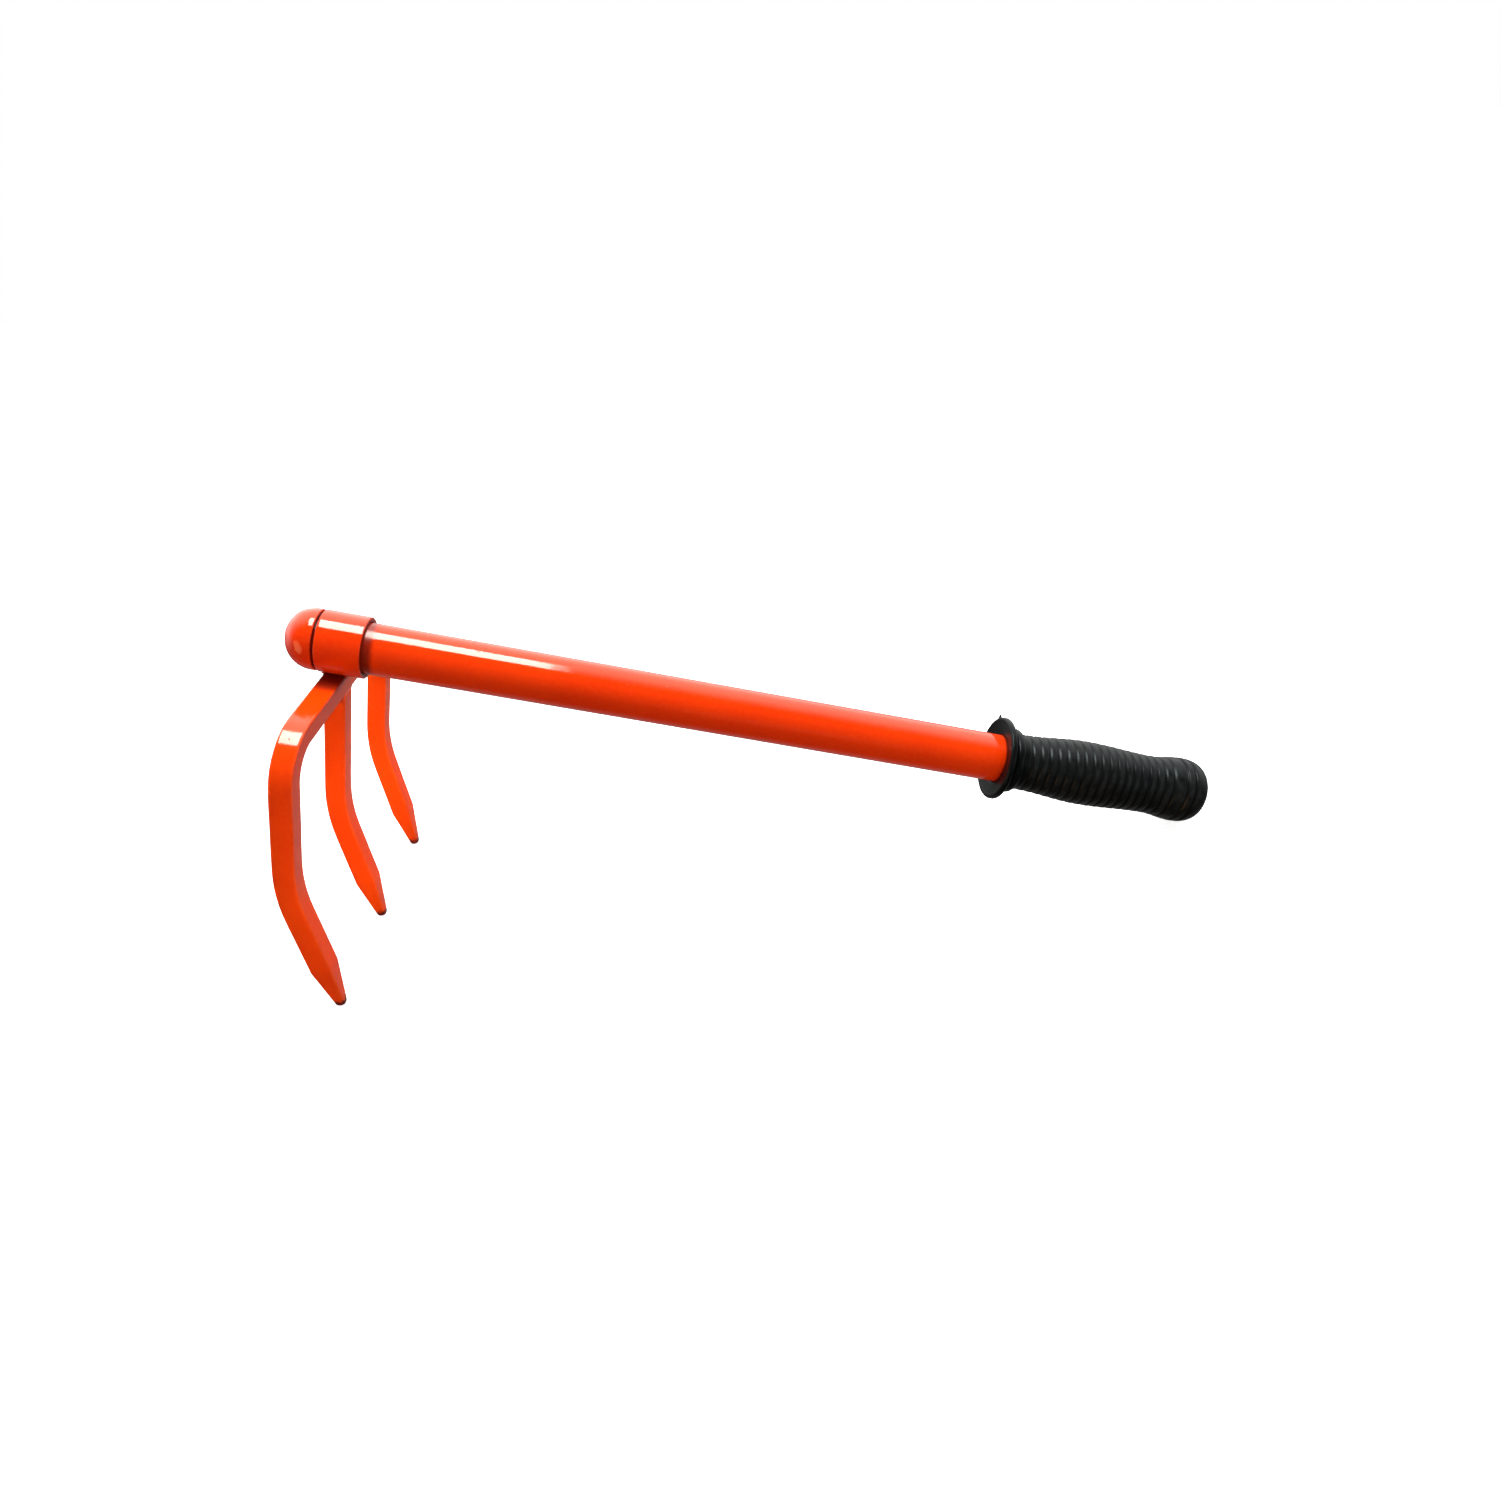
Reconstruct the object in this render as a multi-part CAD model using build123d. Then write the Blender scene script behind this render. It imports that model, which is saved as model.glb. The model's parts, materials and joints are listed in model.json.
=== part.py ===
from build123d import *
import os
from math import cos, pi, radians, sin

# Hand cultivator: a steel tube handle with a moulded grip at one end and, at the other, a
# collar that carries three tines of square bar.
#
# Every piece is drawn in the tool's own axes: X along the handle towards the grip, Y across
# the tines, Z away from the tines, with the origin on the tube's axis in the plane of the
# tines' shanks. The whole tool is then tipped about Y until the outer tine points and the
# grip's butt stand on Z = 0, which is how it rests on a bench. Millimetres.

# Handle tube, collar and cap
TUBE_OD = 22.2
TUBE_WALL = 1.5
COLLAR_OD = 26.5
COLLAR_HEAD_END = -5.6
COLLAR_GRIP_END = 12.8
CAP_OD = 26.2
CAP_GAP = 1.2
CAP_SKIRT = 1.9
CAP_NOSE = -20.4
CAP_FULLNESS = 1.01
CAP_BORE_DEPTH = 6.0
RIM_ROUND = 0.5

# Tines, all of one square bar
BAR = 9.2
BAR_ROUND = 0.9
SPREAD = 60.5
ARM_DROOP = 0.5
CORNER_RADIUS = 17.0
CENTRE_BEND_RADIUS = 120.0
KINK_HEIGHT = -85.2
KINK_ANGLE = 19.0
KINK_RADIUS = 80.0
POINT_LENGTH = 66.0
TAPER_LENGTH = 23.0
TIP_SIZE = 4.2
TIP_CORNER = 1.5
TIP_ROUND = 1.4

# Weld beads at the root of the tines
BEAD_ROD = 3.4
BEAD_RUN = 12.0
FILLET_LEG = 4.0
ROOT_GAP = 0.2
FIT_GAP = 0.02

# Grip, along the handle from the front face of its guard
GRIP_FRONT = 296.4
GRIP_LENGTH = 104.0
GRIP_END_WALL = 6.0
GUARD_RADIUS = 19.3
GUARD_THICKNESS = 3.0
GUARD_ROUND = 1.1
DISH_RADIUS = 17.6
DISH_DEPTH = 1.4
NECK_RADIUS = 13.1
NECK_LENGTH = 12.0
RING_PLACE = 7.3
RING_RADIUS = 15.1
RING_HALF_WIDTH = 2.3
SWELL_PLACE = 45.0
SWELL_RADIUS = 15.25
WAIST_PLACE = 78.0
WAIST_RADIUS = 13.85
BULB_PLACE = 93.5
BULB_RADIUS = 15.45
BUTT_EDGE = 2.5
BUTT_EDGE_RADIUS = 13.3
BUTT_FLAT_RADIUS = 8.0
NUB_ANGLE = 49.0
NUB_HEIGHT = 2.0
NUB_BASE = 1.2
NUB_END = 0.35
NUB_ROOT = 0.5
PROFILE_STEPS = 5

RIB_COUNT = 17
RIB_PITCH = 4.166
FIRST_RIB = 15.4
VALLEY_DEPTH = 0.55
VALLEY_ROD = 1.5
BUTT_GROOVES = 2
BUTT_GROOVE_START = 90.7
BUTT_GROOVE_PITCH = 4.0
BUTT_GROOVE_DEPTH = 0.9
BUTT_GROOVE_ROD = 1.0

# Search for the angle at which the tool rests, degrees
TILT_LOW = 10.0
TILT_HIGH = 30.0
TILT_STEPS = 14

# Places worked out from the above
CAP_REAR = COLLAR_HEAD_END - CAP_GAP
CROSSBAR_CENTRE = -(COLLAR_OD + BAR) / 2
CROSSBAR_UNDERSIDE = CROSSBAR_CENTRE - BAR / 2
MIDDLE_TINE_TOP = CROSSBAR_UNDERSIDE - ROOT_GAP
ACROSS_HANDLE = Plane(origin=(0, 0, 0), x_dir=(0, 1, 0), z_dir=(1, 0, 0))


def rod(radius, start, end):
    """A solid rod on the handle's axis, from start to end along X."""
    return extrude(ACROSS_HANDLE.offset(start) * Circle(radius), end - start)


def handle_tube():
    start = CAP_REAR - CAP_BORE_DEPTH
    end = GRIP_FRONT + GRIP_LENGTH - GRIP_END_WALL
    return rod(TUBE_OD / 2, start, end) - rod(TUBE_OD / 2 - TUBE_WALL, start, end)


def head_collar():
    body = rod(COLLAR_OD / 2, COLLAR_HEAD_END, COLLAR_GRIP_END)
    body = fillet(body.edges().filter_by(GeomType.CIRCLE), RIM_ROUND)
    return body - rod(TUBE_OD / 2, COLLAR_HEAD_END - 1, COLLAR_GRIP_END + 1)


def end_cap():
    """Domed cap over the tube's end: a short skirt, a full rounded nose and a blind bore."""
    outer = CAP_OD / 2
    shoulder = CAP_REAR - CAP_SKIRT
    rim = CAP_REAR - RIM_ROUND
    fullness = CAP_FULLNESS * sin(radians(45))
    haunch = (shoulder - (shoulder - CAP_NOSE) * fullness, outer * fullness)
    dome = Spline((shoulder, outer), haunch, (CAP_NOSE, 0), tangents=[(-1, 0), (0, -1)])
    outline = [
        dome,
        Line((shoulder, outer), (rim, outer)),
        CenterArc((rim, outer - RIM_ROUND), RIM_ROUND, 90, -90),
        Line((CAP_REAR, outer - RIM_ROUND), (CAP_REAR, 0)),
        Line((CAP_REAR, 0), (CAP_NOSE, 0)),
    ]
    nose = revolve(make_face(outline), Axis.X)
    return nose - rod(TUBE_OD / 2, CAP_REAR - CAP_BORE_DEPTH, CAP_REAR + 1)


def point_run(side):
    """A tine's lower run: its tip, its kink, and the direction from the tip up to the kink."""
    lean = radians(KINK_ANGLE)
    kink = Vector(0, side, KINK_HEIGHT)
    tip = kink + Vector(sin(lean), 0, -cos(lean)) * POINT_LENGTH
    return tip, kink, (kink - tip).normalized()


def tapered_point(side):
    """The forged end of a tine: the bar drawn down to a small blunt square."""
    tip, _, up = point_run(side)
    root = Plane(origin=tip + up * TAPER_LENGTH, x_dir=(0, 1, 0), z_dir=-up)
    end = Plane(origin=tip, x_dir=(0, 1, 0), z_dir=-up)
    full = root * RectangleRounded(BAR, BAR, BAR_ROUND)
    small = end * RectangleRounded(TIP_SIZE, TIP_SIZE, TIP_CORNER)
    body = loft([full, small])
    blunt = body.faces().sort_by_distance(tip)[0]
    return fillet(blunt.edges(), TIP_ROUND)


def bent_bar(points, radii, direction):
    """Square bar along a bent path, its sides kept parallel to the bends."""
    path = FilletPolyline(*points, radius=radii)
    section = Plane(origin=points[0], x_dir=(0, 1, 0), z_dir=direction)
    return sweep(section * RectangleRounded(BAR, BAR, BAR_ROUND), path=path)


def outer_tines():
    """Both outer tines, bent from one bar whose middle lies under the collar."""
    arm_end = CROSSBAR_CENTRE - SPREAD * sin(radians(ARM_DROOP))
    tip, kink, up = point_run(-SPREAD)
    half = [tip + up * TAPER_LENGTH, kink, Vector(0, -SPREAD, arm_end)]
    middle = Vector(0, 0, CROSSBAR_CENTRE)
    other_half = [Vector(p.X, -p.Y, p.Z) for p in reversed(half)]
    radii = [KINK_RADIUS, CORNER_RADIUS, CENTRE_BEND_RADIUS, CORNER_RADIUS, KINK_RADIUS]
    bar = bent_bar([*half, middle, *other_half], radii, up)
    return bar + tapered_point(-SPREAD) + tapered_point(SPREAD)


def middle_tine():
    """The middle tine, butted against the underside of the crossbar."""
    tip, kink, up = point_run(0)
    top = Vector(0, 0, MIDDLE_TINE_TOP)
    return bent_bar([tip + up * TAPER_LENGTH, kink, top], KINK_RADIUS, up) + tapered_point(0)


def collar_weld():
    """Two beads, one each side of the crossbar, that join it to the collar's underside."""
    bar_top = CROSSBAR_CENTRE + BAR / 2
    keep_clear = rod(COLLAR_OD / 2 + FIT_GAP, COLLAR_HEAD_END, COLLAR_GRIP_END)
    keep_clear += Pos(0, 0, bar_top - BAR / 2) * Box(BAR + 2 * FIT_GAP, 2 * BEAD_RUN, BAR)
    solids = []
    for side in (-1, 1):
        bead = Pos(side * BAR / 2, 0, bar_top) * Rot(90, 0, 0) * Cylinder(BEAD_ROD / 2, BEAD_RUN)
        bead = fillet(bead.edges().filter_by(GeomType.CIRCLE), BEAD_ROD / 4)
        solids += (bead - keep_clear).solids()
    return Compound(solids)


def tine_weld():
    """Two hollow fillets that join the middle tine to the underside of the crossbar."""
    corner = BAR / 2 + FIT_GAP
    outline = [
        Line((corner, 0), (corner + FILLET_LEG, 0)),
        CenterArc((corner + FILLET_LEG, -FILLET_LEG), FILLET_LEG, 90, 90),
        Line((corner, -FILLET_LEG), (corner, 0)),
    ]
    profile = Plane(origin=(0, 0, 0), x_dir=(0, 1, 0), z_dir=(1, 0, 0)) * make_face(outline)
    width = BAR - 2 * BAR_ROUND
    wedge = Pos(-width / 2, 0, MIDDLE_TINE_TOP - ROOT_GAP) * extrude(profile, width)
    return Compound([*wedge.solids(), *mirror(wedge, Plane.XZ).solids()])


def grip_radius(place):
    """Outer radius of the grip's body, before it is ribbed, at a distance from the guard."""
    knots = (
        (0, NECK_RADIUS),
        (NECK_LENGTH, NECK_RADIUS),
        (SWELL_PLACE, SWELL_RADIUS),
        (WAIST_PLACE, WAIST_RADIUS),
        (BULB_PLACE, BULB_RADIUS),
    )
    for (start, first), (end, last) in zip(knots, knots[1:]):
        if place <= end:
            share = (place - start) / (end - start)
            return first + (last - first) * (1 - cos(pi * share)) / 2
    return BULB_RADIUS


def grip_body():
    """The grip without its guard and ribs: a neck, a palm swell, a waist and a round butt."""
    stations = [NECK_LENGTH, SWELL_PLACE, WAIST_PLACE, BULB_PLACE]
    places = []
    for start, end in zip(stations, stations[1:]):
        places += [start + (end - start) * step / PROFILE_STEPS for step in range(PROFILE_STEPS)]
    side = [(GRIP_FRONT + place, grip_radius(place)) for place in [*places, BULB_PLACE]]
    butt = GRIP_FRONT + GRIP_LENGTH
    bulb = side[-1]
    flat = (butt, BUTT_FLAT_RADIUS)
    outline = [
        Line((GRIP_FRONT, 0), (GRIP_FRONT, NECK_RADIUS)),
        Line((GRIP_FRONT, NECK_RADIUS), side[0]),
        Spline(*side, tangents=[(1, 0), (1, 0)]),
        Spline(
            bulb,
            (butt - BUTT_EDGE, BUTT_EDGE_RADIUS),
            flat,
            tangents=[(1, 0), (0, -1)],
        ),
        Line(flat, (butt, 0)),
        Line((butt, 0), (GRIP_FRONT, 0)),
    ]
    return revolve(make_face(outline), Axis.X)


def guard():
    """Round guard with the small pip that its mould leaves on the rim."""
    disc = rod(GUARD_RADIUS, GRIP_FRONT, GRIP_FRONT + GUARD_THICKNESS)
    disc = fillet(disc.edges().filter_by(GeomType.CIRCLE), GUARD_ROUND)
    height = NUB_HEIGHT + NUB_ROOT
    outwards = (0, cos(radians(NUB_ANGLE)), sin(radians(NUB_ANGLE)))
    foot = Vector(*outwards) * (GUARD_RADIUS - NUB_ROOT)
    foot += Vector(GRIP_FRONT + GUARD_THICKNESS / 2, 0, 0)
    seat = Plane(origin=foot, x_dir=(1, 0, 0), z_dir=outwards)
    pip = seat * Cone(NUB_BASE, NUB_END, height, align=(Align.CENTER, Align.CENTER, Align.MIN))
    return disc + pip


def guard_dish():
    """The hollow in the guard's front face, a shallow cone that is deepest beside the tube."""
    rim = (GRIP_FRONT, DISH_RADIUS)
    foot = (GRIP_FRONT + DISH_DEPTH, TUBE_OD / 2)
    outline = Polyline((foot[0], 0), foot, rim, (rim[0] - 1, rim[1]), (rim[0] - 1, 0), close=True)
    return revolve(make_face(outline), Axis.X)


def neck_ring():
    """The rounded ring that stands up from the neck behind the guard."""
    height = RING_RADIUS - NECK_RADIUS + RIM_ROUND
    place = (GRIP_FRONT + RING_PLACE, NECK_RADIUS - RIM_ROUND)
    hump = Pos(*place) * Ellipse(RING_HALF_WIDTH, height)
    return revolve(hump, Axis.X)


def groove(place, rod_radius, depth):
    """A ring cut into the grip's surface with a round-nosed tool."""
    centre = (GRIP_FRONT + place, grip_radius(place) + rod_radius - depth)
    return revolve(Pos(*centre) * Circle(rod_radius), Axis.X)


def grip():
    body = grip_body() + guard() + neck_ring()
    for index in range(RIB_COUNT + 1):
        place = FIRST_RIB + (index - 0.5) * RIB_PITCH
        if place > NECK_LENGTH:
            body -= groove(place, VALLEY_ROD, VALLEY_DEPTH)
    for index in range(BUTT_GROOVES):
        place = BUTT_GROOVE_START + index * BUTT_GROOVE_PITCH
        body -= groove(place, BUTT_GROOVE_ROD, BUTT_GROOVE_DEPTH)
    bore_end = GRIP_FRONT + GRIP_LENGTH - GRIP_END_WALL
    return body - guard_dish() - rod(TUBE_OD / 2, GRIP_FRONT - 1, bore_end)


def lowest(shape, tilt):
    """Height of a shape's lowest point when the tool is tipped by an angle about Y."""
    return (Rot(0, tilt, 0) * shape).bounding_box().min.Z


def resting_place(parts):
    """Tip and shift that stand the tool on its tine points and butt, centred over the origin."""
    low, high = TILT_LOW, TILT_HIGH
    for _ in range(TILT_STEPS):
        tilt = (low + high) / 2
        if lowest(parts["grip"], tilt) > lowest(parts["outer_tines"], tilt):
            low = tilt
        else:
            high = tilt
    tipped = Rot(0, tilt, 0)
    box = Compound([tipped * shape for shape in parts.values()]).bounding_box()
    return Pos(-(box.min.X + box.max.X) / 2, 0, -box.min.Z) * tipped


def build():
    parts = {
        "handle_tube": handle_tube(),
        "head_collar": head_collar(),
        "end_cap": end_cap(),
        "outer_tines": outer_tines(),
        "middle_tine": middle_tine(),
        "collar_weld": collar_weld(),
        "tine_weld": tine_weld(),
        "grip": grip(),
    }
    place = resting_place(parts)
    return {name: place * shape for name, shape in parts.items()}, place


def main():
    os.makedirs("parts", exist_ok=True)
    parts, place = build()
    print("tilt", place.orientation.Y, "shift", place.position)
    for name, shape in parts.items():
        export_step(shape, f"parts/{name}.step")


if __name__ == "__main__":
    main()
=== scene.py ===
import json
import math

import bpy
from mathutils import Matrix, Vector, noise


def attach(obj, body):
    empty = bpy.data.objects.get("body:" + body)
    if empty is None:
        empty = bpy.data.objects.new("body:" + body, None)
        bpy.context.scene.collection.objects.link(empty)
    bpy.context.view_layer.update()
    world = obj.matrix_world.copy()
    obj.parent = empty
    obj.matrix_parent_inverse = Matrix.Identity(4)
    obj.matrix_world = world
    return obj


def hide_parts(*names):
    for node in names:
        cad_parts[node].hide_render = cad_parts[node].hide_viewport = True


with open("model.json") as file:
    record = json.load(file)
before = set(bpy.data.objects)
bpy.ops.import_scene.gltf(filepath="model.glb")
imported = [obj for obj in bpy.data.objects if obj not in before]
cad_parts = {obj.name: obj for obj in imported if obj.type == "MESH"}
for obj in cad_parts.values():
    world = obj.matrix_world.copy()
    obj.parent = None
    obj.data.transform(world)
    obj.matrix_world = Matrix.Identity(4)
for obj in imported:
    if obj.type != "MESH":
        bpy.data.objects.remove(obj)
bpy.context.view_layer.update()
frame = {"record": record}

# ---------------------------------------------------------------------------------------------
# Sizes, in metres, in the tool's own axes: X along the handle towards the grip, Y across the
# tines, Z away from the tines, origin on the tube's axis in the plane of the tines' shanks.
# ---------------------------------------------------------------------------------------------
TUBE_RADIUS = 0.0111
TUBE_WALL = 0.0015
COLLAR_RADIUS = 0.01325
COLLAR_HEAD_END = -0.0056
COLLAR_GRIP_END = 0.0128
CAP_RADIUS = 0.0131
CAP_REAR = -0.0068
CAP_SKIRT = 0.0019
CAP_NOSE = -0.0204
CAP_BORE = 0.0060
BUTT_PLACE = 0.4004

BAR = 0.0092
BAR_ROUND = 0.0009
SPREAD = 0.0605
ARM_DROOP = math.radians(0.5)
CORNER_RADIUS = 0.017
KINK_HEIGHT = -0.0852
KINK_ANGLE = math.radians(19.0)
KINK_RADIUS = 0.080
POINT_LENGTH = 0.066
TAPER_LENGTH = 0.023
TIP_SIZE = 0.0042
CROSSBAR_CENTRE = -(COLLAR_RADIUS + BAR / 2)

GRIP_FRONT = 0.2964
GRIP_LENGTH = BUTT_PLACE - GRIP_FRONT
GRIP_END_WALL = 0.0060
GUARD_RADIUS = 0.0193
GUARD_THICKNESS = 0.0030
GUARD_ROUND = 0.0011
NECK_RADIUS = 0.0131
NECK_LENGTH = 0.012
RING_PLACE = 0.0073
RING_RADIUS = 0.0151
RING_HALF_WIDTH = 0.0023
SWELL_PLACE = 0.045
SWELL_RADIUS = 0.01525
WAIST_PLACE = 0.078
WAIST_RADIUS = 0.01385
BULB_PLACE = 0.0935
BULB_RADIUS = 0.01545
BUTT_FLAT_RADIUS = 0.008
RIB_COUNT = 17
RIB_PITCH = 0.004166
FIRST_RIB = 0.0154
RIB_DEPTH = 0.00055
BUTT_GROOVES = (0.0907, 0.0947)
BUTT_GROOVE_DEPTH = 0.0009

# Steps round turned pieces, clearances, how far crevice shading reaches from a joint, and rims.
ROUND_STEPS = 144
GRIP_ROUND_STEPS = 168
FIT = 0.00002
SAME_PLACE = 0.000001
JOINT_SHADE = 0.0006
COLLAR_SHADE = 0.0052
JOINT_FADE = 0.55
RIM_SHADE = 0.0022
GRIP_SIDE_SHADE = 0.0030
TUBE_END_GAP = 0.0002
TUBE_EDGE = 0.0003
TUBE_STEP = 0.004
COLLAR_RIM = 0.0004
COLLAR_LEAD = 0.0005
CAP_RIM = 0.0005
CAP_LEAD = 0.0004

# Square bar: bends, points, unevenness, worn paint and the shading at its root.
CENTRE_RADIUS = 0.120
TIP_CORNER = 0.0015
TIP_ROUND = 0.0014
TAPER_BLEND = 0.0004
TINE_OVERLAP = 0.0003
CORNER_LIMIT = 0.98
CORNER_EDGE = 0.3
FLAT_SHARES = (-0.94, -0.5, 0.0, 0.5, 0.94)
CORNER_STEPS = 5
RUN_STEP = 0.003
BEND_SPREAD = 0.05
BAR_LUMPS = 95.0
BAR_LUMP_HEIGHT = 0.00012
WORN_LENGTH = 0.0070
ROOT_REACH = 0.0205
ROOT_FADE = 0.0060
UPPER_FADE = 0.2
UPPER_START = 1.3

# The cap's dome, and the shallow flats left by pressing it.
DOME_STEPS = 40
DOME_POWER = 2.059
DOME_DENT = 0.045
DENT_RISE = 2.2
DENT_SCALE = 110.0
DENT_TURNS = 1.6

# Weld beads at the collar, and the hollow fillets at the middle tine, each evenly darkened by
# painted shade.
BEAD_RUN = 0.0090
BEAD_LEG = 0.0010
BEAD_PITCH = 0.0019
BEAD_RIPPLE = 0.10
BEAD_POINTS = 8
BEAD_ROOT = 0.0005
BEAD_STEP = 0.0004
BEAD_END = 0.35
BEAD_UNEVEN = 0.10
BEAD_LUMPS = 300.0
BEAD_LEG_LUMPS = 900.0
BEAD_LAG = 0.0011
BEAD_LIFT = 0.7
BEAD_SINK = 0.0002
BEAD_BULGE = 0.12
BEAD_SHADE = 0.35
FILLET_WIDTH = 0.0078
FILLET_LEG = 0.0042
FILLET_BULGE = -0.30
FILLET_SHADE = 0.25

# Grip: the butt's curve, valleys between ribs, the guard's dish, its pip and the sprue mark.
BUTT_POWER = 2.23
BUTT_STEPS = 34
RIB_VALLEY = 0.00135
BUTT_VALLEY = 0.0010
GRIP_STEP = 0.00027
DISH_RADIUS = 0.0176
DISH_DEPTH = 0.0014
GRIP_LEAD = 0.0004
GUARD_FOOT = 0.0007
RING_POWER = 2.4
RIDGE_SHARE = 0.35
BORE_MARGIN = 0.001
SPRUE_RADIUS = 0.0031
SPRUE_FLOOR = 0.0026
SPRUE_DEPTH = 0.0003
NUB_ANGLE = math.radians(49.0)
NUB_BASE = 0.0012
NUB_END = 0.00035
NUB_HEIGHT = 0.0020
NUB_ROOT = 0.0005
NUB_ROUND_STEPS = 24


# ---------------------------------------------------------------------------------------------
# The tool's axes in the row frame, from the butt's mount
# ---------------------------------------------------------------------------------------------
def tool_axes():
    """Matrix from the tool's own axes to the row frame."""
    mounts = {mount["name"]: mount for mount in frame["record"]["mounts"]}
    along = Vector(mounts["butt_face"]["axis"]).normalized()
    across = Vector((0, 1, 0))
    away = along.cross(across)
    origin = Vector(mounts["butt_face"]["pos_m"]) - along * BUTT_PLACE
    axes = Matrix((along, across, away)).transposed().to_4x4()
    return Matrix.Translation(origin) @ axes


TOOL = tool_axes()


# ---------------------------------------------------------------------------------------------
# Mesh making
# ---------------------------------------------------------------------------------------------
def make_piece(name, points, faces, attributes):
    """An object in the row frame from points in the tool's axes, with float point attributes."""
    mesh = bpy.data.meshes.new(name)
    mesh.from_pydata([TOOL @ Vector(point) for point in points], [], faces)
    for label, values in attributes.items():
        layer = mesh.attributes.new(label, "FLOAT", "POINT")
        layer.data.foreach_set("value", values)
    mesh.polygons.foreach_set("use_smooth", [True] * len(mesh.polygons))
    mesh.update()
    piece = bpy.data.objects.new(name, mesh)
    bpy.context.scene.collection.objects.link(piece)
    return piece


def without_repeats(profile):
    """The profile's pairs without those that fall on the pair before, or round on the first."""
    kept = [profile[0]]
    for pair in profile[1:]:
        if math.dist(pair, kept[-1]) > SAME_PLACE:
            kept.append(pair)
    if math.dist(kept[0], kept[-1]) <= SAME_PLACE:
        kept.pop()
    return kept


def lathe(profile, shape=None, steps=ROUND_STEPS):
    """Points and faces of a surface turned about the handle, from (place, radius) pairs.

    The profile is closed, apart from ends on the axis. shape(place, radius, angle) may return
    a changed radius.
    """
    points, rings, faces = [], [], []
    for place, radius in without_repeats(profile):
        if radius <= 0:
            rings.append([len(points)])
            points.append((place, 0.0, 0.0))
            continue
        ring = []
        for step in range(steps):
            angle = 2 * math.pi * step / steps
            reach = shape(place, radius, angle) if shape else radius
            ring.append(len(points))
            points.append((place, reach * math.cos(angle), reach * math.sin(angle)))
        rings.append(ring)
    closed = len(rings[0]) > 1 and len(rings[-1]) > 1
    pairs = list(zip(rings, rings[1:] + rings[:1] if closed else rings[1:]))
    for first, second in pairs:
        for step in range(steps):
            after = (step + 1) % steps
            if len(first) == 1:
                faces.append((first[0], second[after], second[step]))
            elif len(second) == 1:
                faces.append((first[step], first[after], second[0]))
            else:
                faces.append((first[step], first[after], second[after], second[step]))
    return points, faces


def arc(centre, radius, start, end, steps):
    """(place, radius) pairs along an arc, angles in degrees from the handle's direction."""
    pairs = []
    for step in range(steps + 1):
        angle = math.radians(start + (end - start) * step / steps)
        pairs.append((centre[0] + radius * math.cos(angle), centre[1] + radius * math.sin(angle)))
    return pairs


def straight(start, end, steps):
    """Evenly spaced (place, radius) pairs after start, up to and including end."""
    return [
        (
            start[0] + (end[0] - start[0]) * step / steps,
            start[1] + (end[1] - start[1]) * step / steps,
        )
        for step in range(1, steps + 1)
    ]


def ease(share):
    """0 to 1 with level ends."""
    share = min(1.0, max(0.0, share))
    return share * share * (3 - 2 * share)


# ---------------------------------------------------------------------------------------------
# Handle tube, collar and cap
# ---------------------------------------------------------------------------------------------
def make_tube():
    """The handle's tube, with closer rings where a joint's shading fades along it."""
    start = CAP_REAR - CAP_BORE + TUBE_END_GAP
    end = BUTT_PLACE - GRIP_END_WALL - TUBE_END_GAP
    bore = TUBE_RADIUS - TUBE_WALL
    edge = TUBE_EDGE
    profile = arc((start + edge, TUBE_RADIUS - edge), edge, 180, 90, 4)
    joints = (
        (CAP_REAR, JOINT_SHADE),
        (COLLAR_HEAD_END, JOINT_SHADE),
        (COLLAR_GRIP_END, COLLAR_SHADE),
        (GRIP_FRONT + DISH_DEPTH, JOINT_SHADE),
    )
    for joint, reach in joints:
        near = (joint - reach, TUBE_RADIUS)
        gap = near[0] - profile[-1][0]
        if gap > 0:
            profile += straight(profile[-1], near, max(1, round(gap / TUBE_STEP)))
        profile += straight(profile[-1], (joint + reach, TUBE_RADIUS), 14)
    profile += straight(profile[-1], (end - edge, TUBE_RADIUS), 20)
    profile += arc((end - edge, TUBE_RADIUS - edge), edge, 90, 0, 4)
    profile += [(end, bore)]
    profile += straight((end, bore), (start, bore), 12)
    points, faces = lathe(profile)
    # Painted shade on the tube beside each joint, and fully in the gap between cap and collar;
    # beside the collar's grip end it stands in for the collar's cast shadow.
    painted_shade = []
    for x, _, _ in points:
        shade = max(ease((1 - abs(x - joint) / reach) / JOINT_FADE) for joint, reach in joints)
        painted_shade.append(1.0 if CAP_REAR < x < COLLAR_HEAD_END else shade)
    return make_piece("tube", points, faces, {"painted_shade": painted_shade})


def make_collar():
    """A short sleeve with rounded rims and a lead-in at each end of its bore."""
    rim, lead = COLLAR_RIM, COLLAR_LEAD
    first, last = COLLAR_HEAD_END, COLLAR_GRIP_END
    bore = TUBE_RADIUS + FIT
    profile = [(first + lead, bore), (first, bore + lead)]
    profile += arc((first + rim, COLLAR_RADIUS - rim), rim, 180, 90, 6)
    profile += straight(profile[-1], (last - rim, COLLAR_RADIUS), 16)
    profile += arc((last - rim, COLLAR_RADIUS - rim), rim, 90, 0, 6)
    profile += [(last, bore + lead), (last - lead, bore)]
    profile += straight(profile[-1], (first + lead, bore), 6)[:-1]
    points, faces = lathe(profile)
    # Painted shade on the collar's ends near its bore, reaching further at the grip end, where the
    # collar's shadow falls.
    painted_shade = []
    for x, y, z in points:
        reach = RIM_SHADE if x < last - rim / 2 else GRIP_SIDE_SHADE
        painted_shade.append(ease(1 - (math.hypot(y, z) - bore) / reach))
    return make_piece("collar", points, faces, {"painted_shade": painted_shade})


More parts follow.
